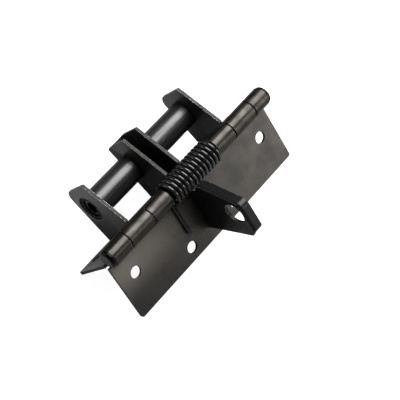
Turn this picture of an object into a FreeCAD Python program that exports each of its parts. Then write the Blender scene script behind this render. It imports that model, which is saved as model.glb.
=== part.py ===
"""Spring loaded door hinge with a detent that holds the door at a right angle.

Two pressed leaves turn on one pin inside a coiled torsion spring. The frame leaf carries
two ears and a guide channel, which hold two tubes with sprung plungers. The door leaf
carries a flanged striker that swings into the guide channel, where the noses of the
plungers meet its round hole. The hinge stands on the long edges of both leaves.

X runs along the pin and +Z is up. The origin is on the pin's axis, midway between the
leaves' short edges. Each leaf has its own flat coordinates: reach, measured away from
the pin along the leaf, and height, measured off its outer face side. Millimetres.
"""
import FreeCAD
import Part
import math
import os

# Leaves
leaf_length = 113.0
leaf_reach = 36.0
sheet = 1.6
face_drop = 1.6
leaf_half_angle = 35.0
leaf_corner = 1.2
leaf_gap = 0.4

# Knuckle barrel, whose ends are placed from the leaves' short edges
barrel_radius = 5.0
barrel_shift = 2.6
near_inset = 2.7
far_overhang = 1.1
near_end_knuckle = 11.1
far_end_knuckle = 9.7
door_knuckle = 15.8
inner_knuckle = 12.4
roll_slit = 0.25
roll_fillet = 8.0

# Pin, washers, bush and caps
pin_radius = 3.3
pin_chamfer = 0.4
running_clearance = 0.05
side_clearance = 0.1
washer_thickness = 0.8
washer_inset = 0.4
bush_wall = 1.0
cap_inset = 0.3
cap_height = 2.2
cap_crown = 1.5
cap_shank = 3.5

# Torsion spring
coil_wire = 2.0
coil_clearance = 0.4
coil_pitch = 2.4
leg_reach = 23.0
leg_gap = 0.1
leg_bend = 2.0
elbow_swell = 0.03
coil_relief = 0.9

# Screw holes, placed from the short edges, the barrel, the long edges and the ears
screw_hole_radius = 3.0
door_hole_from_end = 10.0
door_hole_from_barrel = 11.1
door_hole_from_middle = 16.0
door_hole_from_edge = 6.0
frame_hole_from_end = 9.3
frame_hole_from_edge = 6.2
frame_hole_from_ear = 10.4
frame_hole_from_barrel = 7.6

# Bracket on the frame leaf: two ears and a folded channel between them
plate = 1.6
ear_inset = 22.1
bracket_setback = 1.2
bracket_height = 29.2
ear_foot = (3.6, 5.2)
ear_shoulder = 14.2
ear_round = 5.0
knuckle_relief = 0.8
channel_play = 1.0
channel_rise = 1.0
channel_round = 5.0
channel_lip = 1.7
channel_bend = 2.2

# Plunger tubes, on an axis placed from the bracket's outer edges
tube_from_reach = 9.9
tube_from_height = 12.3
tube_radius = 6.94
tube_bore = 5.0
lip_bore = 4.2
lip_length = 1.2
tube_recess = 0.5
nose_clearance = 0.3
nose_crown = 0.5
collar_length = 6.0
stub_clearance = 0.4
stub_length = 3.0
adjuster_length = 8.0
adjuster_recess = 0.6
adjuster_chamfer = 0.5
socket_flats = 6.0
socket_depth = 5.0
push_wire = 1.0
push_mean_radius = 3.3
push_pitch = 2.4

# Striker on the door leaf: one plate with a flange folded along its free edges
striker_width = 5.2
striker_reach = 29.8
striker_play = 1.1
striker_foot_height = 10.2
striker_foot_from_hole = 13.4
striker_shoulder_from_hole = 5.4
striker_round = 4.0
striker_chamfer = 3.0
striker_bend = 1.5
striker_hole_radius = 5.5

# Tenons that are peened through the leaves: reach of each one's middle, and length
tenon_length = 5.0
ear_tenons = (12.0, 28.0)
channel_tenons = (13.0, 26.0)
striker_tenons = (12.5, 25.0)
tenon_clearance = 0.05

# How far a cutter runs past what it cuts, and how near a place counts as the same
overrun = 1.0
same_place = 0.01

# Sizes that follow from the ones above
frame_angle = -90.0 + leaf_half_angle
door_angle = -90.0 - leaf_half_angle
inner_face = -face_drop - sheet
near_half = leaf_length / 2 - near_inset + barrel_shift
far_half = leaf_length / 2 + far_overhang - barrel_shift
near_outer_joint = near_half - near_end_knuckle
far_outer_joint = far_half - far_end_knuckle
near_inner_joint = near_outer_joint - door_knuckle
far_inner_joint = far_outer_joint - door_knuckle
near_spring = near_inner_joint - inner_knuckle
far_spring = far_inner_joint - inner_knuckle
bore_radius = pin_radius + running_clearance
bush_radius = bore_radius + bush_wall - running_clearance
washer_radius = barrel_radius - washer_inset
half_washer = washer_thickness / 2
cap_radius = barrel_radius - cap_inset
plate_edge = barrel_radius + leaf_gap
coil_mean_radius = bush_radius + coil_clearance + coil_wire / 2
relief_radius = coil_mean_radius + coil_wire / 2 + coil_relief
leg_height = -face_drop + coil_wire / 2 + leg_gap
leg_hub = coil_mean_radius + leg_bend
leg_swing = math.asin((leg_height - leg_bend) / leg_hub)
ear_spacing = leaf_length - 2 * ear_inset
bracket_reach = leaf_reach - bracket_setback
tube_reach = bracket_reach - tube_from_reach
tube_height = bracket_height - tube_from_height
channel_width = striker_width + 2 * (channel_play + plate)
striker_height = bracket_reach - plate - striker_play
channel_height = bracket_height + channel_rise
striker_foot = tube_height - striker_foot_from_hole
striker_shoulder = tube_height - striker_shoulder_from_hole
wall_face = channel_width / 2 - plate
nose_tip = striker_width / 2 + nose_clearance
tube_end = ear_spacing / 2 + plate / 2 - tube_recess
stub_radius = push_mean_radius - push_wire / 2 - stub_clearance
door_screws = (
    (leaf_length / 2 - door_hole_from_end, plate_edge + door_hole_from_barrel),
    (door_hole_from_middle, leaf_reach - door_hole_from_edge),
)
frame_screws = (
    (leaf_length / 2 - frame_hole_from_end, leaf_reach - frame_hole_from_edge),
    (ear_spacing / 2 - frame_hole_from_ear, plate_edge + frame_hole_from_barrel),
)
FRAME = 1
DOOR = -1


def vector(x, y, z):
    return FreeCAD.Vector(x, y, z)


def block(x_range, reach_range, height_range, side):
    """A box between two places along each of a leaf's own coordinates."""
    low = min(side * height_range[0], side * height_range[1])
    high = max(side * height_range[0], side * height_range[1])
    size = (x_range[1] - x_range[0], reach_range[1] - reach_range[0], high - low)
    return Part.makeBox(size[0], size[1], size[2], vector(x_range[0], reach_range[0], low))


def rod(radius, x_range, reach=0.0, height=0.0, side=FRAME):
    """A round bar along X."""
    start = vector(x_range[0], reach, side * height)
    return Part.makeCylinder(radius, x_range[1] - x_range[0], start, vector(1, 0, 0))


def drill(radius, x, reach, side):
    """A cutter through a leaf, square to its faces."""
    start = vector(x, reach, -leaf_reach)
    return Part.makeCylinder(radius, 2 * leaf_reach, start, vector(0, 0, 1))


def sheet_plate(outline, x_range, side):
    """A flat plate across the pin, from its outline in reach and height."""
    points = [vector(x_range[0], reach, side * height) for reach, height in outline]
    face = Part.Face(Part.makePolygon(points + points[:1]))
    return face.extrude(vector(x_range[1] - x_range[0], 0, 0))


def round_along_x(solid, place, radius, side):
    """Round the edge that runs along X at one reach and height."""
    chosen = []
    for edge in solid.Edges:
        middle = edge.CenterOfMass
        off = math.hypot(middle.y - place[0], middle.z - side * place[1])
        if off < same_place:
            chosen.append(edge)
    return solid.makeFillet(radius, chosen)


def set_on_leaf(shape, side):
    """Turn a shape from its leaf's own coordinates into the hinge's."""
    placed = shape.copy()
    angle = frame_angle if side == FRAME else door_angle
    placed.rotate(vector(0, 0, 0), vector(1, 0, 0), angle)
    return placed


def along_barrel(start, end):
    """A stretch of the barrel, which stands a little off the leaves' middle."""
    return (start + barrel_shift, end + barrel_shift)


def frame_knuckles():
    return [
        along_barrel(-near_half, -near_outer_joint - half_washer),
        along_barrel(-near_inner_joint + half_washer, -near_spring),
        along_barrel(far_spring, far_inner_joint - half_washer),
        along_barrel(far_outer_joint + half_washer, far_half),
    ]


def door_knuckles():
    gap = half_washer + side_clearance
    return [
        along_barrel(-near_outer_joint + gap, -near_inner_joint - gap),
        along_barrel(far_inner_joint + gap, far_outer_joint - gap),
    ]


def rolled_knuckle(x_range, side):
    """The end of the sheet, rolled round the pin until it meets the leaf again."""
    roll = rod(barrel_radius, x_range)
    neck = block(x_range, (0.0, plate_edge), (inner_face, -face_drop), side)
    past_ends = (x_range[0] - overrun, x_range[1] + overrun)
    low = inner_face - roll_fillet
    out = math.sqrt((barrel_radius + roll_fillet) ** 2 - low ** 2)
    touch = barrel_radius / (barrel_radius + roll_fillet)
    corner = block(x_range, (touch * out, out), (touch * low, inner_face), side)
    corner = corner.cut(rod(roll_fillet, past_ends, out, low, side))
    bore = rod(bore_radius, past_ends)
    slit = block(
        past_ends, (bore_radius - overrun, barrel_radius + overrun),
        (-face_drop, -face_drop + roll_slit), side)
    return roll.fuse([neck, corner]).cut([bore, slit])


def leaf(side, knuckles, screws, slots):
    """One pressed leaf: its plate, its rolled knuckles, screw holes and tenon slots."""
    half = leaf_length / 2
    body = block((-half, half), (plate_edge, leaf_reach), (inner_face, -face_drop), side)
    corners = [edge for edge in body.Edges
               if abs(abs(edge.CenterOfMass.x) - half) < same_place
               and abs(edge.CenterOfMass.y - leaf_reach) < same_place]
    body = body.makeFillet(leaf_corner, corners)
    window = along_barrel(-near_spring - side_clearance, far_spring + side_clearance)
    through = (inner_face - overrun, overrun - face_drop)
    cutters = [block(window, (0, relief_radius), through, side)]
    for place, reach in screws:
        for x in (-place, place):
            cutters.append(drill(screw_hole_radius, x, reach, side))
    body = body.cut(cutters + slots)
    return body.fuse([rolled_knuckle(span, side) for span in knuckles]).removeSplitter()


def tenons(x_range, middles, side, clearance=0.0):
    """The tenons of one plate, or with a clearance the slots that take them."""
    x_span = (x_range[0] - clearance, x_range[1] + clearance)
    made = []
    for middle in middles:
        half = tenon_length / 2 + clearance
        top = -face_drop + (overrun if clearance else 0.0)
        low = inner_face - (overrun if clearance else 0.0)
        made.append(block(x_span, (middle - half, middle + half), (low, top), side))
    return made


def ear_spans():
    half = ear_spacing / 2
    return [(-half - plate / 2, -half + plate / 2), (half - plate / 2, half + plate / 2)]


def wall_spans(width):
    """The two walls of a folded channel that is centred on the leaves."""
    return [(-width / 2, -width / 2 + plate), (width / 2 - plate, width / 2)]


def bracket_outline(height):
    return [
        (ear_foot[0], -face_drop), ear_foot, (ear_shoulder, height),
        (bracket_reach, height), (bracket_reach, -face_drop),
    ]


def clear_of_door_knuckle():
    """A cutter that keeps a plate's foot clear of what turns on the barrel."""
    return rod(plate_edge + knuckle_relief, (-leaf_length, leaf_length))


def tube_hole():
    return rod(tube_radius + running_clearance, (-leaf_length, leaf_length), tube_reach, tube_height)


def ear(span):
    body = sheet_plate(bracket_outline(bracket_height), span, FRAME)
    body = round_along_x(body, (bracket_reach, bracket_height), ear_round, FRAME)
    body = body.cut([clear_of_door_knuckle(), tube_hole()])
    return body.fuse(tenons(span, ear_tenons, FRAME)).removeSplitter()


def folded(x_half, reach, height, bend, side):
    """A block whose two edges furthest from the pin are rounded, as at a fold."""
    body = block((-x_half, x_half), (0, reach), (inner_face - overrun, height), side)
    edges = [edge for edge in body.Edges
             if abs(abs(edge.CenterOfMass.x) - x_half) < same_place
             and abs(edge.CenterOfMass.y - reach) < same_place]
    return body.makeFillet(bend, edges)


def guide_channel():
    """A channel folded from one sheet, open towards the barrel, with its web outside.

    The web follows the rounded corner of the walls and ends a little short of their top edge.
    """
    half = channel_width / 2
    body = sheet_plate(bracket_outline(channel_height), (-half, half), FRAME)
    body = round_along_x(body, (bracket_reach, channel_height), channel_round, FRAME)
    body = body.common(folded(half, bracket_reach, channel_height, channel_bend, FRAME))
    between = (-half + plate, half - plate)
    corner = (bracket_reach - channel_round, channel_height - channel_round)
    inside = folded(half - plate, bracket_reach - plate, corner[1], channel_bend - plate, FRAME)
    inside = inside.fuse([
        rod(channel_round - plate, between, corner[0], corner[1]),
        block(between, (0, corner[0] + channel_lip), (-face_drop, channel_height + overrun), FRAME),
    ])
    relief = rod(relief_radius, (-half - overrun, half + overrun))
    body = body.cut([inside, relief, tube_hole()])
    for span in wall_spans(channel_width):
        body = body.fuse(tenons(span, channel_tenons, FRAME))
    return body.removeSplitter()


def striker_outline(margin):
    """The striker's edge, moved in by a margin along its slanted and its highest edge."""
    rise = striker_height - striker_foot_height
    run = striker_shoulder - striker_foot
    along = margin * math.hypot(rise, run) / rise
    top = striker_height - margin
    lean = run / rise
    return [
        (striker_foot + along - lean * (striker_foot_height + face_drop), -face_drop),
        (striker_foot + along + lean * (top - striker_foot_height), top),
        (striker_reach - striker_chamfer, top),
        (striker_reach, top - striker_chamfer), (striker_reach, -face_drop),
    ]


def striker_solid(margin, x_range):
    """The striker's outline with its shoulder rounded, as a solid plate."""
    outline = striker_outline(margin)
    body = sheet_plate(outline, x_range, DOOR)
    return round_along_x(body, outline[1], striker_round - margin, DOOR)


def striker_channel():
    """One plate with a hole, and a flange folded along its slanted and its highest edge."""
    half = striker_width / 2
    past_walls = (-half - overrun, half + overrun)
    body = striker_solid(0.0, (-half, half))
    foot = block(past_walls, (striker_foot, striker_reach), (-face_drop, striker_height), DOOR)
    body = body.common(foot)
    rim = [edge for edge in body.Edges
           if abs(edge.CenterOfMass.x + half) < same_place
           and abs(edge.BoundBox.ZMin + striker_height) < same_place
           and edge.BoundBox.YMax < striker_reach - striker_chamfer + same_place]
    body = body.makeFillet(striker_bend, rim)
    inside = striker_solid(plate, (-half + plate, half + overrun))
    inside = inside.fuse(block(
        (-half + plate, half + overrun), (striker_reach - striker_chamfer, striker_reach + overrun),
        (-face_drop, striker_height - plate), DOOR))
    relief = rod(relief_radius, past_walls)
    hole = rod(striker_hole_radius, past_walls, tube_height, tube_reach, DOOR)
    body = body.cut([inside, relief, hole])
    body = body.fuse(tenons(striker_plate_span(), striker_tenons, DOOR))
    return body.removeSplitter()


def striker_plate_span():
    return (-striker_width / 2, -striker_width / 2 + plate)


def end_cap(x_face, direction):
    """A domed plug whose shank fits the bore of the last knuckle."""
    head = rod(cap_radius, sorted((x_face, x_face + direction * cap_height)))
    rim = [edge for edge in head.Edges
           if abs(edge.CenterOfMass.x - x_face - direction * cap_height) < same_place]
    head = head.makeFillet(cap_crown, rim)
    shank = rod(pin_radius, sorted((x_face - direction * cap_shank, x_face)))
    return head.fuse(shank).removeSplitter()


def hinge_pin():
    start = -near_half + cap_shank
    end = far_half - cap_shank
    body = rod(pin_radius, along_barrel(start, end))
    return body.makeChamfer(pin_chamfer, [edge for edge in body.Edges if len(edge.Vertexes) == 1])


def ring(outer, inner, x_range):
    return rod(outer, x_range).cut(rod(inner, (x_range[0] - overrun, x_range[1] + overrun)))


def wire_coil(mean_radius, wire, length, turns):
    """A coil of round wire that starts at reach mean_radius and climbs along +Z."""
    path = Part.makeHelix(length / turns, length, mean_radius)
    climb = vector(0, mean_radius, length / turns / (2 * math.pi))
    circle = Part.Circle(vector(mean_radius, 0, 0), climb, wire / 2)
    section = Part.Wire([circle.toShape()])
    return Part.Wire(path.Edges).makePipeShell([section], True, True)


def coil_along_x(coil, x_start, start_angle):
    """Lay a coil along X, starting at an angle from +Y about the pin's axis."""
    laid = coil.copy()
    laid.rotate(vector(0, 0, 0), vector(0, 1, 0), 90)
    laid.rotate(vector(0, 0, 0), vector(1, 0, 0), start_angle + 90)
    laid.translate(vector(x_start, 0, 0))
    return laid


def spring_leg(x, side):
    """A leg of the torsion spring: a bend out of the coils and a straight run along a leaf."""
    hub = (leg_hub * math.cos(leg_swing), leg_hub * math.sin(leg_swing))
    start = vector(x, hub[0], side * leg_height)
    leg = Part.makeCylinder(coil_wire / 2, leg_reach - hub[0], start, vector(0, 1, 0))
    section = Part.Face(Part.Wire([Part.Circle(start, vector(0, 1, 0), coil_wire / 2).toShape()]))
    sweep = 90 + math.degrees(leg_swing)
    bend = section.revolve(vector(x, hub[0], side * hub[1]), vector(1, 0, 0), side * sweep)
    foot = vector(
        x, coil_mean_radius * math.cos(leg_swing),
        side * coil_mean_radius * math.sin(leg_swing))
    elbow = Part.makeSphere(coil_wire / 2 + elbow_swell, foot)
    return set_on_leaf(leg.fuse([bend, elbow]), side)


def torsion_spring():
    """Close coils round the bush, with a leg on each leaf."""
    door_start = door_angle - math.degrees(leg_swing)
    frame_end = frame_angle + math.degrees(leg_swing)
    length = near_spring + far_spring - coil_wire - 2 * side_clearance
    turns = round(length / coil_pitch) + (frame_end - door_start) / 360
    x_start = barrel_shift - near_spring + side_clearance + coil_wire / 2
    coil = wire_coil(coil_mean_radius, coil_wire, length, turns)
    coil = coil_along_x(coil, x_start, door_start)
    door_leg = spring_leg(x_start, DOOR)
    frame_leg = spring_leg(x_start + length, FRAME)
    return coil.fuse([door_leg, frame_leg])


def plunger_tube():
    """A tube from the channel's inner face to the ear, drawn on its own axis."""
    body = ring(tube_radius, tube_bore, (wall_face + lip_length, tube_end))
    lip = ring(tube_radius, lip_bore, (wall_face, wall_face + lip_length))
    return body.fuse(lip).removeSplitter()


def plunger():
    """A domed nose, a collar behind the tube's lip and a stub that centres its spring."""
    collar_face = wall_face + lip_length + running_clearance
    nose = rod(lip_bore - running_clearance, (nose_tip, collar_face))
    tip = [edge for edge in nose.Edges
           if len(edge.Vertexes) == 1 and edge.CenterOfMass.x < wall_face]
    nose = nose.makeFillet(nose_crown, tip)
    collar = rod(tube_bore - running_clearance, (collar_face, collar_face + collar_length))
    stub_start = collar_face + collar_length
    stub = rod(stub_radius, (stub_start, stub_start + stub_length))
    return nose.fuse([collar, stub]).removeSplitter()


def adjuster_faces():
    outer = tube_end - adjuster_recess
    return (outer - adjuster_length, outer)


def adjuster():
    """A grub screw that closes the tube and sets the force of the plunger's spring."""
    span = adjuster_faces()
    body = rod(tube_bore - running_clearance, span)
    rims = [edge for edge in body.Edges if len(edge.Vertexes) == 1]
    body = body.makeChamfer(adjuster_chamfer, rims)
    corner = socket_flats / math.sqrt(3)
    angles = [math.radians(60 * step) for step in range(6)]
    mouth = span[1] + overrun
    points = [vector(mouth, corner * math.cos(a), corner * math.sin(a)) for a in angles]
    face = Part.Face(Part.makePolygon(points + points[:1]))
    return body.cut(face.extrude(vector(-socket_depth - overrun, 0, 0)))


def plunger_spring():
    """A compression spring between the plunger's collar and the adjuster."""
    start = wall_face + lip_length + 2 * running_clearance + collar_length
    length = adjuster_faces()[0] - running_clearance - start - push_wire
    coil = wire_coil(push_mean_radius, push_wire, length, round(length / push_pitch))
    return coil_along_x(coil, start + push_wire / 2, 0.0)


def in_tube(shape, x_side):
    """Move a piece onto the tubes' axis, mirrored for the near one."""
    placed = shape.copy()
    if x_side < 0:
        placed = placed.mirror(vector(0, 0, 0), vector(1, 0, 0))
    placed.translate(vector(0, tube_reach, tube_height))
    return set_on_leaf(placed, FRAME)


def washer(joint):
    span = along_barrel(joint - half_washer, joint + half_washer)
    return ring(washer_radius, bore_radius, span)


def leaf_slots(spans, middles, side):
    return [slot for span in spans for slot in tenons(span, middles, side, tenon_clearance)]


def hinge():
    """Every piece of the hinge by its name."""
    frame_slots = leaf_slots(ear_spans(), ear_tenons, FRAME)
    frame_slots += leaf_slots(wall_spans(channel_width), channel_tenons, FRAME)
    door_slots = leaf_slots([striker_plate_span()], striker_tenons, DOOR)
    frame = leaf(FRAME, frame_knuckles(), frame_screws, frame_slots)
    door = leaf(DOOR, door_knuckles(), door_screws, door_slots)
    ears = [ear(span) for span in ear_spans()]
    pieces = {
        "frame_leaf": set_on_leaf(frame, FRAME),
        "door_leaf": set_on_leaf(door, DOOR),
        "hinge_pin": hinge_pin(),
        "end_cap_near": end_cap(barrel_shift - near_half, -1),
        "end_cap_far": end_cap(barrel_shift + far_half, 1),
        "spring_bush": ring(bush_radius, bore_radius, along_barrel(-near_spring, far_spring)),
        "torsion_spring": torsion_spring(),
        "guide_channel": set_on_leaf(guide_channel(), FRAME),
        "ear_near": set_on_leaf(ears[0], FRAME),
        "ear_far": set_on_leaf(ears[1], FRAME),
        "striker_channel": set_on_leaf(striker_channel(), DOOR),
    }
    joints = (-near_outer_joint, -near_inner_joint, far_inner_joint, far_outer_joint)
    for number, joint in enumerate(joints, 1):
        pieces["knuckle_washer_%d" % number] = washer(joint)
    for name, x_side in (("near", -1), ("far", 1)):
        pieces["plunger_tube_" + name] = in_tube(plunger_tube(), x_side)
        pieces["plunger_" + name] = in_tube(plunger(), x_side)
        pieces["plunger_spring_" + name] = in_tube(plunger_spring(), x_side)
        pieces["adjuster_" + name] = in_tube(adjuster(), x_side)
    return pieces


os.makedirs("parts", exist_ok=True)
for name, shape in hinge().items():
    shape.exportStep("parts/%s.step" % name)
    print("%-20s %8.1f mm3, solids %d, valid %s" % (name, shape.Volume, len(shape.Solids), shape.isValid()))
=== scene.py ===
"""Finishes a spring loaded door hinge: rounded sheet edges, wound springs and black metal.

The hinge lies on a pale floor on the long edges of both leaves. X runs along its pin,
+Z is up, and lengths are in metres unless a name ends in mm.
"""
import math

import bmesh
import bpy
from bpy.props import FloatProperty, FloatVectorProperty, IntProperty, PointerProperty
from mathutils import Euler, Matrix, Vector


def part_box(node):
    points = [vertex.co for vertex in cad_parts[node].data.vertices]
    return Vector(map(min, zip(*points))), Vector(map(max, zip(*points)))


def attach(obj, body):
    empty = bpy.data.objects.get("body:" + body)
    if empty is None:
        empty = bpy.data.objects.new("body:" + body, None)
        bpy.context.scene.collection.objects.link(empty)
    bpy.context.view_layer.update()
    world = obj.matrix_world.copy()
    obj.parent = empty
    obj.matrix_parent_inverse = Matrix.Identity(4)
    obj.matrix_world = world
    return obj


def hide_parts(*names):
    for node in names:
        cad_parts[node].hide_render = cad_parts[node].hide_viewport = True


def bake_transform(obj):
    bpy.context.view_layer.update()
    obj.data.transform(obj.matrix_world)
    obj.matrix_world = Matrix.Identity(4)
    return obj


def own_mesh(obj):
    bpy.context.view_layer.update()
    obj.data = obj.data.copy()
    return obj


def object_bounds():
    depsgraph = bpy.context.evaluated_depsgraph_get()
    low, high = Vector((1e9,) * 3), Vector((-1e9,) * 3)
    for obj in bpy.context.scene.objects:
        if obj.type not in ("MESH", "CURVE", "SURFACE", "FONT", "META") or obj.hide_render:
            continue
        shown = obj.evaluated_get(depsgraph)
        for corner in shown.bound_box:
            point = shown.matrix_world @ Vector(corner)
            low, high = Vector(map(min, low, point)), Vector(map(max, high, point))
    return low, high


bl_info = {
    "name": "Spring loaded door hinge",
    "version": (1, 0, 0),
    "blender": (4, 5, 0),
    "location": "View3D > Sidebar > Hinge",
    "description": "Finishes the hinge's sheet pieces, barrel, springs and tubes, and sets its stage",
    "category": "Object",
}

MM = 0.001
PIN_AXIS = Vector((1, 0, 0))
WHITE = (1.0, 1.0, 1.0)

# Edges that turn less than FLAT_ANGLE are dissolved, and those that turn more than SHARP_ANGLE
# are rounded. A face is a cut edge of the sheet if its width, as a share of the sheet's
# thickness, lies in CUT_WIDTHS.
FLAT_ANGLE = math.radians(0.3)
SHARP_ANGLE = math.radians(35)
SMOOTH_ANGLE = math.radians(38)
CUT_WIDTHS = (0.65, 1.1)
CUT_SLOT = 1
RIM_SLOT = 2

# Fineness of the wires: steps in a turn and sides of the wire's section
COIL_STEPS = 44
COIL_SIDES = 18
BEND_STEPS = 10
PUSH_STEPS = 36
PUSH_SIDES = 12

# Name, setting of its power, size along the pin and across it, direction and distance
LAMPS = (
    ("key_lamp", "key", (0.40, 0.48), (0.42, -0.02, 0.90), 0.6),
    ("strip_lamp", "strip", (0.34, 0.03), (0.42, -0.82, 0.40), 0.5),
    ("low_lamp", "low", (0.20, 0.26), (0.64, -0.76, 0.14), 0.5),
    ("fill_lamp", "fill", (0.3, 0.3), (-0.7, 0.6, 0.45), 0.6),
)

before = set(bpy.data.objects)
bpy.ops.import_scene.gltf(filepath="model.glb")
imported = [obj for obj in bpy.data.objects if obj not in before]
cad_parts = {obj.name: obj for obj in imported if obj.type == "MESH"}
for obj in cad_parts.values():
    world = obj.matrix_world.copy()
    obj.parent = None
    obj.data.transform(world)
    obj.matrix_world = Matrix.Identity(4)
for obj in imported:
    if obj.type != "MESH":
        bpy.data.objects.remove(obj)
cad_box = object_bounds()


spring_low, spring_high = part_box("torsion_spring")
barrel_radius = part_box("door_leaf")[1].z
tube_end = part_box("plunger_tube_far")[1].x


class SheetSettings(bpy.types.PropertyGroup):
    """Finish of the pressed and folded sheet pieces."""
    edge: FloatProperty(
        name="Edge rounding", description="Radius of the sheet's broken edges",
        default=0.22 * MM, unit="LENGTH")
    thickness: FloatProperty(
        name="Thickness", description="Thickness of the sheet, by which cut edges are known",
        default=1.6 * MM, unit="LENGTH")
    colour: FloatVectorProperty(
        name="Black", description="Colour of the satin coating",
        default=(0.007, 0.007, 0.0072), subtype="COLOR", size=3)
    worn: FloatVectorProperty(
        name="Rubbed", description="Colour of the coating where it is rubbed thinner",
        default=(0.020, 0.019, 0.018), subtype="COLOR", size=3)
    warm: FloatVectorProperty(
        name="Warm", description="Colour of the door leaf's coating where it is rubbed thinner",
        default=(0.036, 0.032, 0.027), subtype="COLOR", size=3)
    # Painted sheen: a light colour laid on the door leaf beside its near knuckle, standing in for the
    # lamp's reflection there.
    near_sheen: FloatVectorProperty(
        name="Painted_sheen", description="Colour of the door leaf beside its near knuckle",
        default=(0.125, 0.114, 0.101), subtype="COLOR", size=3)
    bare: FloatVectorProperty(
        name="Bare edge", description="Colour of the cut edges, where the coating is worn through",
        default=(0.045, 0.044, 0.042), subtype="COLOR", size=3)
    # The rim colour is near white: partly bare metal rubbed through, partly a painted highlight that
    # stands in for the glint on the rounded edges.
    rim_wear_and_glint: FloatVectorProperty(
        name="Rubbed rim", description="Colour of the edges' corners, which are rubbed bright",
        default=(0.85, 0.82, 0.78), subtype="COLOR", size=3)
    tint: FloatVectorProperty(
        name="Sheen tint", description="Colour of the reflections in the door leaf",
        default=(1.0, 0.93, 0.85), subtype="COLOR", size=3)
    roughness: FloatProperty(
        name="Roughness", description="Middle roughness of the coating", default=0.34)
    cloud_mm: FloatProperty(
        name="Clouds", description="Size of the rubbed clouds, in mm", default=13.0)
    speck_mm: FloatProperty(
        name="Specks", description="Size of the rubbed specks, in mm", default=0.9)
    grain_mm: FloatProperty(
        name="Grain", description="Size of the coating's grain, in mm", default=0.32)


class BarrelSettings(bpy.types.PropertyGroup):
    """Finish of the rolled knuckles, pin and caps."""
    colour: FloatVectorProperty(
        name="Gunmetal", description="Colour of the brushed barrel",
        default=(0.032, 0.030, 0.027), subtype="COLOR", size=3)
    roughness: FloatProperty(
        name="Roughness", description="Middle roughness of the barrel", default=0.36)
    line_mm: FloatProperty(
        name="Brush line", description="Width of one brushed line, in mm", default=0.8)


class SpringSettings(bpy.types.PropertyGroup):
    """Form and finish of the torsion spring and the plunger springs."""
    wire: FloatProperty(
        name="Wire", description="Diameter of the torsion spring's wire",
        default=2.0 * MM, unit="LENGTH")
    mean_radius: FloatProperty(
        name="Mean radius", description="Radius of the torsion spring's centreline",
        default=5.7 * MM, unit="LENGTH")
    leaf_spread: FloatProperty(
        name="Leaf spread", description="Angle between the two leaves, where the legs lie",
        default=math.radians(70), subtype="ANGLE")
    turns: IntProperty(
        name="Turns", description="Whole turns of the torsion spring", default=13)
    leg_height: FloatProperty(
        name="Leg height",
        description="Height of a leg's centreline over the pin's axis, square to its leaf",
        default=-0.5 * MM, unit="LENGTH")
    leg_reach: FloatProperty(
        name="Leg reach", description="Distance of the legs' tips from the pin's axis",
        default=23.0 * MM, unit="LENGTH")
    bend: FloatProperty(
        name="Leg bend", description="Bend radius where a leg leaves the coils",
        default=2.0 * MM, unit="LENGTH")
    tip: FloatProperty(
        name="Tip", description="Length of the taper at a leg's end",
        default=0.3 * MM, unit="LENGTH")
    tip_share: FloatProperty(
        name="Tip share", description="Width of a leg's end as a share of the wire's", default=0.75)
    push_wire: FloatProperty(
        name="Plunger spring wire", description="Diameter of the plunger springs' wire",
        default=1.0 * MM, unit="LENGTH")
    push_turns: IntProperty(
        name="Plunger spring turns", description="Turns of each plunger spring", default=6)
    colour: FloatVectorProperty(
        name="Black", description="Colour of the springs' glossy coating",
        default=(0.005, 0.005, 0.0055), subtype="COLOR", size=3)


class CameraSettings(bpy.types.PropertyGroup):
    """Place of the camera."""
    place: FloatVectorProperty(
        name="Place", description="Where the camera stands",
        default=(-0.2439, -0.2142, 0.4872), unit="LENGTH", size=3)
    turn: FloatVectorProperty(
        name="Turn", description="The camera's rotation about X, Y and Z",
        default=(math.radians(32.579), math.radians(1.288), math.radians(-51.810)),
        subtype="EULER", size=3)
    lens: FloatProperty(name="Lens", description="Focal length in mm", default=115.4)


class StageSettings(bpy.types.PropertyGroup):
    """Floor, world and lamps."""
    floor_colour: FloatVectorProperty(
        name="Floor", description="Colour of the floor",
        default=(0.32, 0.32, 0.32), subtype="COLOR", size=3)
    floor_lift: FloatProperty(
        name="Floor lift", description="Light added to the floor for the camera", default=0.94)
    world: FloatProperty(name="World", description="Strength of the even light", default=0.11)
    key: FloatProperty(name="Key", description="Power of the lamp overhead, in watts", default=9.0)
    strip: FloatProperty(
        name="Strip", description="Power of the thin side lamp, in watts", default=0.5)
    low: FloatProperty(
        name="Low", description="Power of the lamp before the door leaf, in watts", default=0.95)
    fill: FloatProperty(
        name="Fill", description="Power of the far side lamp, in watts", default=0.7)


SETTINGS = {
    "hinge_sheet": SheetSettings,
    "hinge_barrel": BarrelSettings,
    "hinge_springs": SpringSettings,
    "hinge_camera": CameraSettings,
    "hinge_stage": StageSettings,
}


# Node helpers

def new_material(name):
    """A material, its node tree and its shader."""
    material = bpy.data.materials.new(name)
    material.use_nodes = True
    return material, material.node_tree, material.node_tree.nodes["Principled BSDF"]


def node(tree, kind, values=None, **settings):
    """A shader node whose inputs are given as numbers or as sockets to link."""
    made = tree.nodes.new("ShaderNode" + kind)
    for key, value in settings.items():
        setattr(made, key, value)
    for key, value in (values or {}).items():
        target = made.inputs[key]
        if isinstance(value, bpy.types.NodeSocket):
            tree.links.new(value, target)
        else:
            target.default_value = value
    return made


def object_coordinates(tree):
    """The socket that gives a point's place in the object, in metres."""
    return tree.nodes.new("ShaderNodeTexCoord").outputs["Object"]


def noise(tree, place, size_mm, detail=3.0, roughness=0.5):
    """Noise whose blots are about this many millimetres across."""
    made = node(tree, "TexNoise", {
        "Vector": place, "Scale": 1 / (size_mm * MM), "Detail": detail, "Roughness": roughness})
    return made.outputs["Fac"]


def ramp(tree, value, low, high, out_low=0.0, out_high=1.0):
    """A value taken from one range to another and held at its ends."""
    made = node(tree, "MapRange", {
        "Value": value, "From Min": low, "From Max": high,
        "To Min": out_low, "To Max": out_high})
    return made.outputs["Result"]


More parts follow.
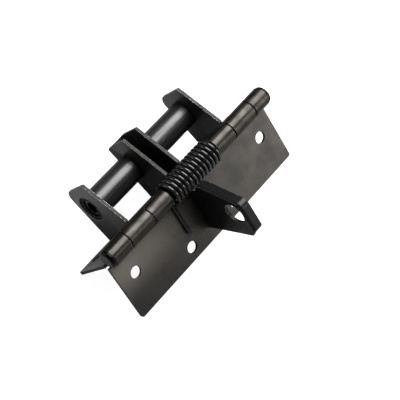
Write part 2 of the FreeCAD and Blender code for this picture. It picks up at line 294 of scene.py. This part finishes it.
def calc(tree, operation, first, second=0.0):
    """The result of a Math node for two numbers or sockets."""
    return node(tree, "Math", {0: first, 1: second}, operation=operation).outputs["Value"]


def blend(tree, share, first, second, data_type, kind):
    """A mix node: the first value where the share is 0 and the second where it is 1."""
    made = node(tree, "Mix", data_type=data_type)
    for socket, value in zip(("Factor_Float", "A_" + kind, "B_" + kind), (share, first, second)):
        target = next(s for s in made.inputs if s.identifier == socket)
        if isinstance(value, bpy.types.NodeSocket):
            tree.links.new(value, target)
        else:
            target.default_value = value
    return next(s for s in made.outputs if s.identifier == "Result_" + kind)


def blend_colour(tree, share, first, second):
    return blend(tree, share, first, second, "RGBA", "Color")


def blend_float(tree, share, first, second):
    return blend(tree, share, first, second, "FLOAT", "Float")


def bump(tree, shader, height, depth_mm, strength):
    """Tilt a shader's normals by a height between 0 and 1."""
    made = node(tree, "Bump", {"Height": height, "Distance": depth_mm * MM, "Strength": strength})
    tree.links.new(made.outputs["Normal"], shader.inputs["Normal"])


def opaque(colour, scale=1.0):
    """A colour made lighter or darker by a factor, with full alpha."""
    return (scale * colour[0], scale * colour[1], scale * colour[2], 1.0)


def finish(tree, shader, colour, rough, shine=None):
    """Link a shader's colour and roughness and set its specular level."""
    if shine is not None:
        shader.inputs["Specular IOR Level"].default_value = shine
    tree.links.new(colour, shader.inputs["Base Color"])
    tree.links.new(rough, shader.inputs["Roughness"])


# Materials

def barrel_distance(tree, place):
    """Distance of a point from the pin's axis."""
    parts = node(tree, "SeparateXYZ", {"Vector": place})
    across = calc(tree, "MULTIPLY", parts.outputs["Y"], parts.outputs["Y"])
    up = calc(tree, "MULTIPLY", parts.outputs["Z"], parts.outputs["Z"])
    return calc(tree, "SQRT", calc(tree, "ADD", across, up))


def brushed_lines(tree, place, width_mm):
    """Fine lines along the pin: noise that changes slowly along X and fast across it."""
    stretched = node(tree, "Mapping", {"Vector": place, "Scale": (0.05, 1.0, 1.0)})
    return noise(tree, stretched.outputs["Vector"], width_mm, detail=2.0)


def streaked_metal(tree, place, lines, light):
    """The barrel's colour, darker along some brushed lines and in soft smudges."""
    smudge = ramp(tree, noise(tree, place, size_mm=5.0), 0.35, 0.65, out_high=0.45)
    streak = ramp(tree, lines, 0.36, 0.62, out_high=0.55)
    share = calc(tree, "ADD", smudge, streak)
    return blend_colour(tree, share, opaque(light, scale=0.45), opaque(light, scale=1.5))


def barrel_roughness(tree, lines):
    """Smoother and rougher brushed lines about the barrel's middle roughness."""
    middle = bpy.context.scene.hinge_barrel.roughness
    return ramp(tree, lines, 0.3, 0.7, middle - 0.07, middle + 0.09)


def paint_near_end_light(tree, place, clouds, colour, near_sheen):
    """Painted light on the leaf's near end: a painted sheen beside the barrel, and painted shade,
    near black, at the outer corner.
    """
    near_end = -46 * MM
    light_from, light_to = 7 * MM, 27 * MM
    dark_from, dark_to = 17 * MM, 31 * MM
    distance = barrel_distance(tree, place)
    along = node(tree, "SeparateXYZ", {"Vector": place}).outputs["X"]
    near = ramp(tree, along, 0.0, near_end)
    # Painted sheen: the leaf is lighter beside the barrel at its near end.
    light = calc(tree, "MULTIPLY", near, ramp(tree, distance, light_from, light_to, 1.0, 0.0))
    light = calc(tree, "MULTIPLY", light, ramp(tree, clouds, 0.0, 1.0, out_low=0.75))
    # Painted shade: the outer corner of the near end is darkened to near black.
    dark = calc(tree, "MULTIPLY", near, ramp(tree, distance, dark_from, dark_to, out_high=0.95))
    colour = blend_colour(tree, light, colour, opaque(near_sheen))
    return blend_colour(tree, dark, colour, opaque(WHITE, scale=0.002))


def satin_black(name, worn, shine, tint=WHITE, shade=1.0, with_barrel=False, near_sheen=None):
    """The coated sheet, rubbed thinner in clouds and specks.

    A leaf also has the brushed look on its rolled knuckles, and may have painted light at its near
    end: a painted sheen beside the barrel and painted shade at the outer corner.
    """
    sheet = bpy.context.scene.hinge_sheet
    barrel = bpy.context.scene.hinge_barrel
    material, tree, shader = new_material(name)
    place = object_coordinates(tree)
    clouds = ramp(
        tree, noise(tree, place, sheet.cloud_mm, detail=4.0, roughness=0.6), 0.38, 0.64)
    grain = noise(tree, place, sheet.grain_mm, detail=2.0)
    specks = ramp(
        tree, noise(tree, place, sheet.speck_mm, detail=2.0, roughness=0.6), 0.62, 0.72)
    rubbed = calc(tree, "MULTIPLY", clouds, 0.55)
    rubbed = calc(tree, "ADD", rubbed, calc(tree, "MULTIPLY", specks, 0.12))
    # A shade below 1 makes a darker copy of the coating, which paints shade on the piece.
    colour = blend_colour(tree, rubbed, opaque(sheet.colour, shade), opaque(worn, shade))
    if near_sheen is not None:
        colour = paint_near_end_light(tree, place, clouds, colour, near_sheen)
    rough = ramp(tree, clouds, 0.0, 1.0, sheet.roughness + 0.09, sheet.roughness - 0.06)
    rough = calc(tree, "ADD", rough, ramp(tree, grain, 0.3, 0.7, -0.06, 0.06))
    height = grain
    if with_barrel:
        on_barrel = ramp(
            tree, barrel_distance(tree, place),
            barrel_radius + 0.12 * MM, barrel_radius + 0.02 * MM)
        lines = brushed_lines(tree, place, barrel.line_mm)
        metal = streaked_metal(tree, place, lines, barrel.colour)
        colour = blend_colour(tree, on_barrel, colour, metal)
        rough = blend_float(tree, on_barrel, rough, barrel_roughness(tree, lines))
        height = blend_float(tree, on_barrel, grain, lines)
        tree.links.new(on_barrel, shader.inputs["Metallic"])
    shader.inputs["Specular Tint"].default_value = opaque(tint)
    finish(tree, shader, colour, rough, shine)
    bump(tree, shader, height, depth_mm=0.018, strength=0.6)
    return material


def bare_edge(name, bare, shine, least):
    """Edges where the coating is worn through to the bare colour in small dots.

    The least share is how far it is worn in the dots where it is worn least.
    """
    sheet = bpy.context.scene.hinge_sheet
    material, tree, shader = new_material(name)
    place = object_coordinates(tree)
    patches = noise(tree, place, size_mm=1.6, roughness=0.6)
    worn = ramp(tree, patches, 0.38, 0.62, least, out_high=0.9)
    dots = ramp(tree, noise(tree, place, size_mm=0.45, detail=2.0), 0.45, 0.60)
    worn = calc(tree, "MULTIPLY", worn, dots)
    colour = blend_colour(tree, worn, opaque(sheet.worn), opaque(bare))
    tree.links.new(colour, shader.inputs["Base Color"])
    tree.links.new(calc(tree, "MULTIPLY", worn, 0.7), shader.inputs["Metallic"])
    shader.inputs["Roughness"].default_value = sheet.roughness + 0.12
    shader.inputs["Specular IOR Level"].default_value = shine
    return material


def brushed_gunmetal(name, shade=1.0):
    """The barrel's brushed metal, lighter or darker by a factor."""
    barrel = bpy.context.scene.hinge_barrel
    material, tree, shader = new_material(name)
    place = object_coordinates(tree)
    lines = brushed_lines(tree, place, barrel.line_mm)
    colour = streaked_metal(tree, place, lines, [shade * c for c in barrel.colour])
    shader.inputs["Metallic"].default_value = 1.0
    finish(tree, shader, colour, barrel_roughness(tree, lines))
    bump(tree, shader, lines, depth_mm=0.01, strength=0.5)
    return material


def glossy_wire(name):
    """The springs' black coating under a thin glossy film."""
    springs = bpy.context.scene.hinge_springs
    material, tree, shader = new_material(name)
    place = object_coordinates(tree)
    blots = ramp(tree, noise(tree, place, size_mm=2.5), 0.35, 0.7)
    scratches = noise(tree, place, size_mm=0.5, detail=2.0)
    light = opaque(springs.colour, scale=1.9)
    colour = blend_colour(tree, blots, opaque(springs.colour), light)
    rough = ramp(tree, scratches, 0.3, 0.7, out_low=0.24, out_high=0.34)
    shader.inputs["Coat Weight"].default_value = 0.75
    shader.inputs["Coat Roughness"].default_value = 0.08
    finish(tree, shader, colour, rough, shine=0.06)
    return material


def smooth_black(name):
    """The tubes' smoother satin coating, drawn along their length, with their end faces painted near
    black as the shade in the recess at each ear.
    """
    sheet = bpy.context.scene.hinge_sheet
    material, tree, shader = new_material(name)
    place = object_coordinates(tree)
    clouds = ramp(tree, noise(tree, place, size_mm=6.0), 0.35, 0.7)
    grain = noise(tree, place, size_mm=0.25, detail=2.0)
    lines = brushed_lines(tree, place, width_mm=0.7)
    light = opaque(sheet.colour, scale=1.3)
    colour = blend_colour(tree, clouds, opaque(sheet.colour), light)
    along = node(tree, "SeparateXYZ", {"Vector": place}).outputs["X"]
    # Painted shade: the end faces, recessed in the ears, are made near black.
    end = ramp(tree, calc(tree, "ABSOLUTE", along), tube_end - 0.04 * MM, tube_end - 0.02 * MM)
    colour = blend_colour(tree, end, colour, opaque(WHITE, scale=0.001))
    rough = ramp(tree, grain, 0.3, 0.7, out_low=0.28, out_high=0.38)
    rough = calc(tree, "ADD", rough, ramp(tree, lines, 0.35, 0.65, -0.06, 0.06))
    rough = calc(tree, "ADD", rough, calc(tree, "MULTIPLY", end, 0.5))
    finish(tree, shader, colour, rough, shine=0.45)
    bump(tree, shader, grain, depth_mm=0.006, strength=0.4)
    return material


# Meshes

def finish_piece(form, name, body, materials, nodes_hidden):
    """Turn a bmesh into a piece that rides on a body and stands for its nodes."""
    mesh = bpy.data.meshes.new(name)
    form.to_mesh(mesh)
    form.free()
    mesh.shade_smooth()
    mesh.set_sharp_from_angle(angle=SMOOTH_ANGLE)
    piece = bpy.data.objects.new(name, mesh)
    bpy.context.scene.collection.objects.link(piece)
    for material in materials:
        mesh.materials.append(material)
    even = piece.modifiers.new("even_shading", "WEIGHTED_NORMAL")
    even.keep_sharp = True
    if body:
        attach(piece, body)
    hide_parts(*nodes_hidden)
    return piece


def broken_edges(node_name, edge, thickness):
    """A copy of a node with its sharp edges rounded, as blasting and coating leave them.

    The cut faces, which are as wide as the sheet, get the second material, and the rounded
    edges get the third.
    """
    form = bmesh.new()
    form.from_mesh(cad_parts[node_name].data)
    bmesh.ops.remove_doubles(form, verts=form.verts, dist=0.001 * MM)
    bmesh.ops.dissolve_limit(
        form, angle_limit=FLAT_ANGLE, use_dissolve_boundaries=False,
        verts=form.verts, edges=form.edges, delimit=set())
    for face in form.faces:
        width = 2 * face.calc_area() / face.calc_perimeter()
        if CUT_WIDTHS[0] < width / thickness < CUT_WIDTHS[1]:
            face.material_index = CUT_SLOT
    sharp = [e for e in form.edges
             if len(e.link_faces) == 2 and e.calc_face_angle() > SHARP_ANGLE]
    bmesh.ops.bevel(
        form, geom=sharp, offset=edge, offset_type="OFFSET", segments=2, profile=0.5,
        affect="EDGES", clamp_overlap=True, material=RIM_SLOT)
    bmesh.ops.recalc_face_normals(form, faces=form.faces)
    return form


def round_section(form, centre, along, radius, segments):
    """A circle of the wire, square to the way that it runs."""
    turn = along.to_track_quat("Z", "Y").to_matrix().to_4x4()
    made = bmesh.ops.create_circle(
        form, cap_ends=False, segments=segments, radius=radius,
        matrix=Matrix.Translation(centre) @ turn)
    return made["verts"]


def open_end(form, verts):
    """The edges that join these vertices of a wire's open end."""
    return [e for e in form.edges if e.verts[0] in verts and e.verts[1] in verts]


def run_on(form, verts, step):
    """Extrude the open end of a wire straight on by a step and give its new vertices."""
    made = bmesh.ops.extrude_edge_only(form, edges=open_end(form, verts))
    fresh = [v for v in made["geom"] if isinstance(v, bmesh.types.BMVert)]
    bmesh.ops.translate(form, verts=fresh, vec=step)
    return fresh


def turn_on(form, verts, centre, axis, angle, steps, climb=Vector((0, 0, 0))):
    """Sweep the open end of a wire round an axis and give its new vertices."""
    made = bmesh.ops.spin(
        form, geom=open_end(form, verts), cent=centre, axis=axis, dvec=climb / steps, angle=angle,
        steps=steps, use_merge=False, use_duplicate=False)
    return [v for v in made["geom_last"] if isinstance(v, bmesh.types.BMVert)]


def close_end(form, verts):
    """Close a wire's end with a flat face."""
    bmesh.ops.edgeloop_fill(form, edges=open_end(form, verts))


def leaf_way(angle):
    """The direction in which a leaf reaches away from the pin."""
    return Vector((0, math.cos(angle), math.sin(angle)))


def spring_leg(form, ring, springs, side_angle, x, direction, swing):
    """Bend an end of the coil out and run it straight along a leaf to a tapered tip."""
    hub_radius = springs.mean_radius + springs.bend
    hub = leaf_way(side_angle - direction * swing) * hub_radius
    hub.x = x
    bend_angle = direction * (math.pi / 2 + swing)
    verts = turn_on(form, ring, hub, PIN_AXIS, bend_angle, BEND_STEPS)
    run = springs.leg_reach - hub_radius * math.cos(swing) - springs.tip
    verts = run_on(form, verts, leaf_way(side_angle) * run)
    tip = run_on(form, verts, leaf_way(side_angle) * springs.tip)
    centre = sum((v.co for v in tip), Vector()) / len(tip)
    bmesh.ops.scale(
        form, verts=tip, vec=[springs.tip_share] * 3, space=Matrix.Translation(-centre))
    close_end(form, tip)


def torsion_form(springs):
    """Coils, then at each end a bend and a straight leg that lies on its leaf."""
    wire_radius = springs.wire / 2
    radius = springs.mean_radius
    door_angle = -math.pi / 2 - springs.leaf_spread / 2
    frame_angle = -math.pi / 2 + springs.leaf_spread / 2
    swing = math.asin((springs.leg_height - springs.bend) / (radius + springs.bend))
    x_start = spring_low.x + wire_radius
    x_end = spring_high.x - wire_radius
    start = door_angle - swing
    sweep = 2 * math.pi * springs.turns + (frame_angle + swing) - start
    climb = x_end - x_start
    form = bmesh.new()
    first = Vector((x_start, radius * math.cos(start), radius * math.sin(start)))
    tangent = Vector((0, -math.sin(start), math.cos(start)))
    slope = (tangent + PIN_AXIS * climb / (sweep * radius)).normalized()
    ring = round_section(form, first, slope, wire_radius, COIL_SIDES)
    end_ring = turn_on(
        form, ring, Vector(), PIN_AXIS, sweep, springs.turns * COIL_STEPS, PIN_AXIS * climb)
    spring_leg(form, ring, springs, door_angle, x_start, 1, swing)
    spring_leg(form, end_ring, springs, frame_angle, x_end, -1, swing)
    bmesh.ops.recalc_face_normals(form, faces=form.faces)
    return form


def push_form(node_name, springs):
    """A plunger's compression spring, wound between its CAD solid's ends."""
    low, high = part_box(node_name)
    wire_radius = springs.push_wire / 2
    radius = (high.y - low.y) / 2 - wire_radius
    centre = Vector((0, (low.y + high.y) / 2, (low.z + high.z) / 2))
    climb = PIN_AXIS * (high.x - low.x - springs.push_wire)
    form = bmesh.new()
    first = centre + Vector((low.x + wire_radius, radius, 0))
    ring = round_section(form, first, Vector((0, 0, 1)), wire_radius, PUSH_SIDES)
    last = turn_on(
        form, ring, centre, PIN_AXIS, 2 * math.pi * springs.push_turns,
        springs.push_turns * PUSH_STEPS, climb)
    close_end(form, ring)
    close_end(form, last)
    bmesh.ops.recalc_face_normals(form, faces=form.faces)
    return form


def finish_sheet(node_name, body, coating):
    """Round a sheet node's edges and give it its coating and its rubbed edges, whose rounded corners
    also carry a painted highlight.
    """
    sheet = bpy.context.scene.hinge_sheet
    form = broken_edges(node_name, sheet.edge, sheet.thickness)
    cut = bare_edge(node_name + "_cut", sheet.bare, shine=0.08, least=0.15)
    # The rounded edges get the near-white rim colour, partly wear and partly a painted highlight.
    rim_wear_and_glint = bare_edge(node_name + "_rim", sheet.rim_wear_and_glint, shine=0.5, least=0.45)
    materials = [coating, cut, rim_wear_and_glint]
    finish_piece(form, node_name + "_sheet", body, materials, [node_name])


def paint(node_name, material):
    """Give a node of the frame its material."""
    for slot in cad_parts[node_name].material_slots:
        slot.material = material


class HINGE_OT_leaves(bpy.types.Operator):
    """Round the edges of the two leaves and finish their plates and knuckles"""
    bl_idname = "hinge.leaves"
    bl_label = "Leaves"

    def execute(self, context):
        sheet = context.scene.hinge_sheet
        # Painted sheen: the frame leaf's rubbed colour is four times the sheet's, a lighter copy that
        # stands in for the grazing reflection on its outer face.
        light = [4.0 * c for c in sheet.worn]
        coating = satin_black("frame_leaf_coating", light, shine=1.0, with_barrel=True)
        finish_sheet("frame_leaf", "frame", coating)
        # The door leaf gets painted light at its near end: a painted sheen beside the barrel and
        # painted shade at the outer corner.
        coating = satin_black(
            "door_leaf_coating", sheet.warm, shine=0.45, tint=sheet.tint, with_barrel=True,
            near_sheen=sheet.near_sheen)
        finish_sheet("door_leaf", "door", coating)
        return {"FINISHED"}


class HINGE_OT_bracket(bpy.types.Operator):
    """Round the edges of the ears, the guide channel and the striker"""
    bl_idname = "hinge.bracket"
    bl_label = "Bracket and striker"

    def execute(self, context):
        sheet = context.scene.hinge_sheet
        # Node, body, and the specular level and shade of its coating. The pieces share one coating:
        # the near ear's higher level paints a brighter sheen on it, the far ear's and the guide's
        # lower levels paint shade, and the striker's low level and shade of 0.4 paint its shadow.
        for node_name, body, shine, shade in (
                ("ear_near", "frame", 0.85, 1.0), ("ear_far", "frame", 0.48, 1.0),
                ("guide_channel", "frame", 0.34, 0.9), ("striker_channel", "door", 0.17, 0.4)):
            coating = satin_black(node_name + "_coating", sheet.worn, shine, shade=shade)
            finish_sheet(node_name, body, coating)
        return {"FINISHED"}


class HINGE_OT_barrel(bpy.types.Operator):
    """Finish the pin, its caps, washers and bush"""
    bl_idname = "hinge.barrel"
    bl_label = "Pin, caps and washers"

    def execute(self, context):
        bright = brushed_gunmetal("pin_metal")
        # Painted shade: the caps' metal is a darker copy of the barrel's, at 0.3, standing in for
        # shade on the barrel's ends.
        caps = brushed_gunmetal("cap_metal", shade=0.3)
        dark = brushed_gunmetal("washer_metal", shade=0.12)
        paint("hinge_pin", bright)
        for node_name in ("end_cap_near", "end_cap_far"):
            paint(node_name, caps)
        for node_name in ("spring_bush", "knuckle_washer_1", "knuckle_washer_2",
                          "knuckle_washer_3", "knuckle_washer_4"):
            paint(node_name, dark)
        return {"FINISHED"}


class HINGE_OT_springs(bpy.types.Operator):
    """Wind the torsion spring with its two legs, and the two plunger springs"""
    bl_idname = "hinge.springs"
    bl_label = "Springs"

    def execute(self, context):
        springs = context.scene.hinge_springs
        wire = glossy_wire("spring_coating")
        coil = finish_piece(
            torsion_form(springs), "torsion_spring_wire", None, [wire],
            ["torsion_spring"])
        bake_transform(coil)
        for side, anchor in (("near", 0), ("far", 1)):
            node_name = "plunger_spring_" + side
            push = finish_piece(
                push_form(node_name, springs), node_name + "_wire", "frame",
                [wire], [node_name])
            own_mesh(push)
        return {"FINISHED"}


class HINGE_OT_tubes(bpy.types.Operator):
    """Finish the plunger tubes, the plungers and the adjusters"""
    bl_idname = "hinge.tubes"
    bl_label = "Tubes and plungers"

    def execute(self, context):
        coated = smooth_black("tube_coating")
        metal = brushed_gunmetal("plunger_metal", shade=0.8)
        black = brushed_gunmetal("adjuster_metal", shade=0.7)
        for side in ("near", "far"):
            paint("plunger_tube_" + side, coated)
            paint("plunger_" + side, metal)
            paint("adjuster_" + side, black)
        return {"FINISHED"}


def add_lamp(name, power, size, direction, distance, aim):
    """A soft lamp, its size given along the pin and then across."""
    lamp = bpy.data.lights.new(name, "AREA")
    lamp.shape = "RECTANGLE"
    lamp.size, lamp.size_y = size
    lamp.energy = power
    holder = bpy.data.objects.new(name, lamp)
    bpy.context.scene.collection.objects.link(holder)
    away = Vector(direction).normalized()
    along = (PIN_AXIS - away * away.x).normalized()
    holder.location = aim + away * distance
    holder.rotation_mode = "QUATERNION"
    facing = Matrix((along, away.cross(along), away)).transposed()
    holder.rotation_quaternion = facing.to_quaternion()
    return holder


def floor_material(stage):
    """White for the camera, but a plain pale floor in the metal, and it keeps the shadow."""
    material, tree, shader = new_material("studio_floor")
    shader.inputs["Base Color"].default_value = opaque(stage.floor_colour)
    shader.inputs["Roughness"].default_value = 0.9
    shader.inputs["Specular IOR Level"].default_value = 0.1
    rays = tree.nodes.new("ShaderNodeLightPath")
    lift = calc(tree, "MULTIPLY", rays.outputs["Is Camera Ray"], stage.floor_lift)
    shader.inputs["Emission Color"].default_value = opaque(WHITE)
    tree.links.new(lift, shader.inputs["Emission Strength"])
    return material


def add_floor(stage, below):
    """A wide floor under the hinge."""
    floor = bpy.data.meshes.new("studio_floor")
    form = bmesh.new()
    bmesh.ops.create_grid(
        form, x_segments=1, y_segments=1, size=3.0, matrix=Matrix.Translation(below))
    form.to_mesh(floor)
    form.free()
    ground = bpy.data.objects.new("studio_floor", floor)
    bpy.context.scene.collection.objects.link(ground)
    floor.materials.append(floor_material(stage))


def set_world(scene, strength):
    """White behind the hinge for the camera, and an even light of this strength otherwise."""
    world = scene.world or bpy.data.worlds.new("studio_world")
    scene.world = world
    world.use_nodes = True
    tree = world.node_tree
    sky = tree.nodes["Background"]
    seen = tree.nodes.new("ShaderNodeLightPath").outputs["Is Camera Ray"]
    sky.inputs["Color"].default_value = opaque(WHITE)
    tree.links.new(ramp(tree, seen, 0.0, 1.0, strength, 1.0), sky.inputs["Strength"])


def set_camera(scene, settings):
    """The camera that sees the hinge as the photo does."""
    lens = bpy.data.cameras.new("photo_camera")
    lens.sensor_width = 36.0
    lens.lens = settings.lens
    lens.clip_start = 0.01
    lens.clip_end = 10.0
    camera = bpy.data.objects.new("photo_camera", lens)
    scene.collection.objects.link(camera)
    camera.location = settings.place
    camera.rotation_euler = Euler(settings.turn, "XYZ")
    scene.camera = camera


class HINGE_OT_stage(bpy.types.Operator):
    """Set the floor, the even light, the lamps and the camera"""
    bl_idname = "hinge.stage"
    bl_label = "Stage"

    def execute(self, context):
        scene = context.scene
        stage = scene.hinge_stage
        low, high = cad_box
        aim = (low + high) / 2
        add_floor(stage, (aim.x, aim.y, low.z))
        set_world(scene, stage.world)
        for name, power, size, direction, distance in LAMPS:
            add_lamp(name, getattr(stage, power), size, direction, distance, aim)
        set_camera(scene, scene.hinge_camera)
        scene.view_settings.view_transform = "Standard"
        return {"FINISHED"}


OPERATORS = (
    HINGE_OT_leaves, HINGE_OT_bracket, HINGE_OT_barrel, HINGE_OT_springs, HINGE_OT_tubes,
    HINGE_OT_stage,
)


class HINGE_PT_sidebar(bpy.types.Panel):
    """The hinge's settings and steps in the 3D view's sidebar"""
    bl_idname = "HINGE_PT_sidebar"
    bl_label = "Door hinge"
    bl_space_type = "VIEW_3D"
    bl_region_type = "UI"
    bl_category = "Hinge"

    def draw(self, context):
        for name, settings in SETTINGS.items():
            box = self.layout.box()
            box.label(text=settings.__doc__)
            for prop in settings.__annotations__:
                box.prop(getattr(context.scene, name), prop)
        for operator in OPERATORS:
            self.layout.operator(operator.bl_idname)


CLASSES = tuple(SETTINGS.values()) + OPERATORS + (HINGE_PT_sidebar,)


def register():
    """Add the hinge's settings, steps and sidebar to Blender."""
    for made in CLASSES:
        bpy.utils.register_class(made)
    for name, settings in SETTINGS.items():
        setattr(bpy.types.Scene, name, PointerProperty(type=settings))


def unregister():
    """Take them out again."""
    for name in SETTINGS:
        delattr(bpy.types.Scene, name)
    for made in reversed(CLASSES):
        bpy.utils.unregister_class(made)


def main():
    """Run every step."""
    register()
    for operator in OPERATORS:
        group, name = operator.bl_idname.split(".")
        getattr(getattr(bpy.ops, group), name)()


if __name__ == "__main__":
    main()
